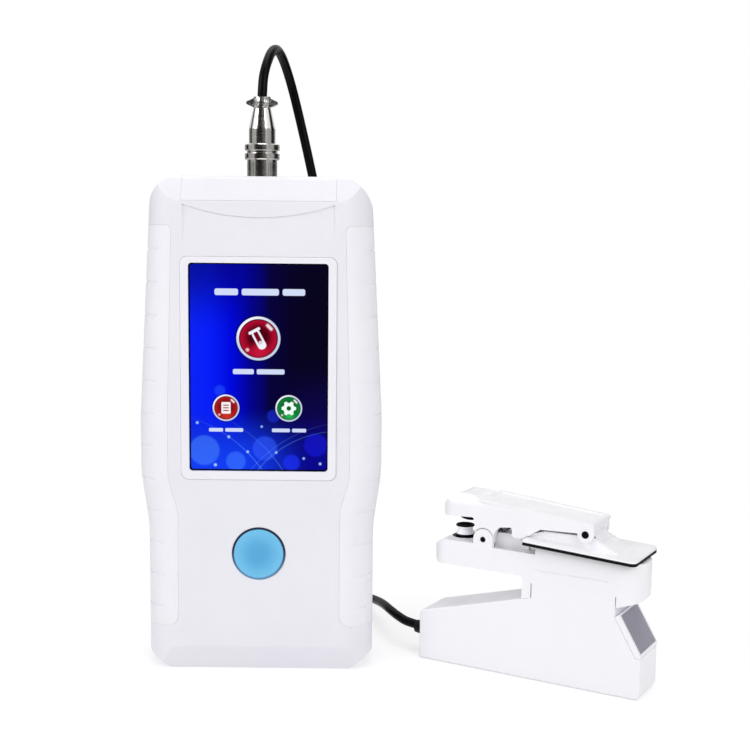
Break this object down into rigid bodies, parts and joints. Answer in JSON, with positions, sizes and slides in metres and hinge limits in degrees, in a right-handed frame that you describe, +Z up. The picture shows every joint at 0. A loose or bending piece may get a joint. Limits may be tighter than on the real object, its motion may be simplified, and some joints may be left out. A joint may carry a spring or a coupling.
{
  "type": "chlorophyll fluorescence meter",
  "caption": "Handheld plant fluorescence meter: upright cased unit with screen and power button, and a leaf clip sensor with spring jaw and thumb lever on a cable.",
  "frame": {"origin": "centre of the handheld unit's bottom face, on the surface that the unit stands on", "axes": "+Z up, +X to the right as seen from the screen side, +Y from the screen to the back"},
  "size_m": [0.2154, 0.14, 0.2611],
  "materials": {
    "case_white": "fine satin moulding",
    "grip_white": "soft matt moulding",
    "bezel_white": "smooth satin",
    "screen_glass": "clear polished",
    "display": "lit blue screen",
    "circuit_board": "solder resist",
    "battery_wrap": "shrink wrap",
    "button_blue": "satin dished",
    "trim_dark": "satin",
    "black_plastic": "moulded",
    "screw_steel": "zinc plated",
    "connector_nickel": "bright nickel plate",
    "contact_brass": "gold flash",
    "cable_black": "smooth jacket",
    "clip_white": "satin moulding",
    "clip_base_grey": "moulded",
    "inlay_grey": "satin sheet",
    "sensor_black": "moulded",
    "foam_black": "closed cell foam",
    "light_pipe_clear": "frosted",
    "pin_black": "black oxide steel",
    "spring_steel": "wire"
  },
  "bodies": {
    "unit_and_base": {"front_shell": "case_white", "rear_shell": "case_white", "top_panel": "case_white", "left_grip": "grip_white", "right_grip": "grip_white", "screen_bezel": "bezel_white", "screen_glass": "screen_glass", "lcd_module": "display", "main_board": "circuit_board", "clip_board": "circuit_board", "battery_pack": "battery_wrap", "button_ring": "trim_dark", "button_switch": "black_plastic", "socket_insert": "black_plastic", "plug_insert": "black_plastic", "cable_tie": "black_plastic", "board_holders": "black_plastic", "case_screws": "screw_steel", "board_screws": "screw_steel", "clamp_screws": "screw_steel", "foot_screws": "screw_steel", "charge_port": "screw_steel", "socket_shell": "connector_nickel", "socket_nut": "connector_nickel", "plug_shell": "connector_nickel", "clamp_front": "connector_nickel", "clamp_rear": "connector_nickel", "socket_pins": "contact_brass", "cable_lead": "cable_black", "cable_coil": "cable_black", "cable_tail": "cable_black", "cable_gland": "cable_black", "housing_near_half": "clip_white", "housing_far_half": "clip_white", "end_cap": "clip_white", "lower_arm": "clip_white", "foot_plate": "clip_base_grey", "end_inlay": "inlay_grey", "turret_base": "sensor_black", "lower_gasket": "foam_black", "light_pipe": "light_pipe_clear", "jaw_pin": "pin_black", "jaw_spring": "spring_steel"},
    "power_button": {"button_cap": "button_blue"},
    "plug_ring": {"coupling_ring": "connector_nickel"},
    "jaw": {"upper_arm": "clip_white", "arm_cover": "clip_white", "sensor_head": "sensor_black", "upper_gasket": "foam_black", "lever_pin": "pin_black"},
    "lever": {"thumb_lever": "clip_white", "lever_pad": "foam_black"}
  },
  "joints": [
    {"name": "power_press", "type": "slide", "parent": "unit_and_base", "child": "power_button", "axis": [0, 1, 0], "range_m": [0, 0.0006], "stiffness_N_per_m": 2500, "springref_m": -0.0003},
    {"name": "ring_turn", "type": "hinge", "parent": "unit_and_base", "child": "plug_ring", "pos_m": [0, 0, 0.212], "axis": [0, 0, 1], "continuous": true},
    {"name": "jaw_hinge", "type": "hinge", "parent": "unit_and_base", "child": "jaw", "pos_m": [0.09903, -0.00595, 0.0564], "axis": [-0.497, -0.8678, 0], "range_deg": [0, 12.5], "deforming": ["jaw_spring"]},
    {"name": "lever_hinge", "type": "hinge", "parent": "jaw", "child": "lever", "pos_m": [0.13782, -0.02817, 0.0642], "axis": [-0.497, -0.8678, 0], "range_deg": [0, 13.9]}
  ],
  "couplings": [
    {"joint": "lever_hinge", "follows": "jaw_hinge", "ratio": 1.11}
  ]
}
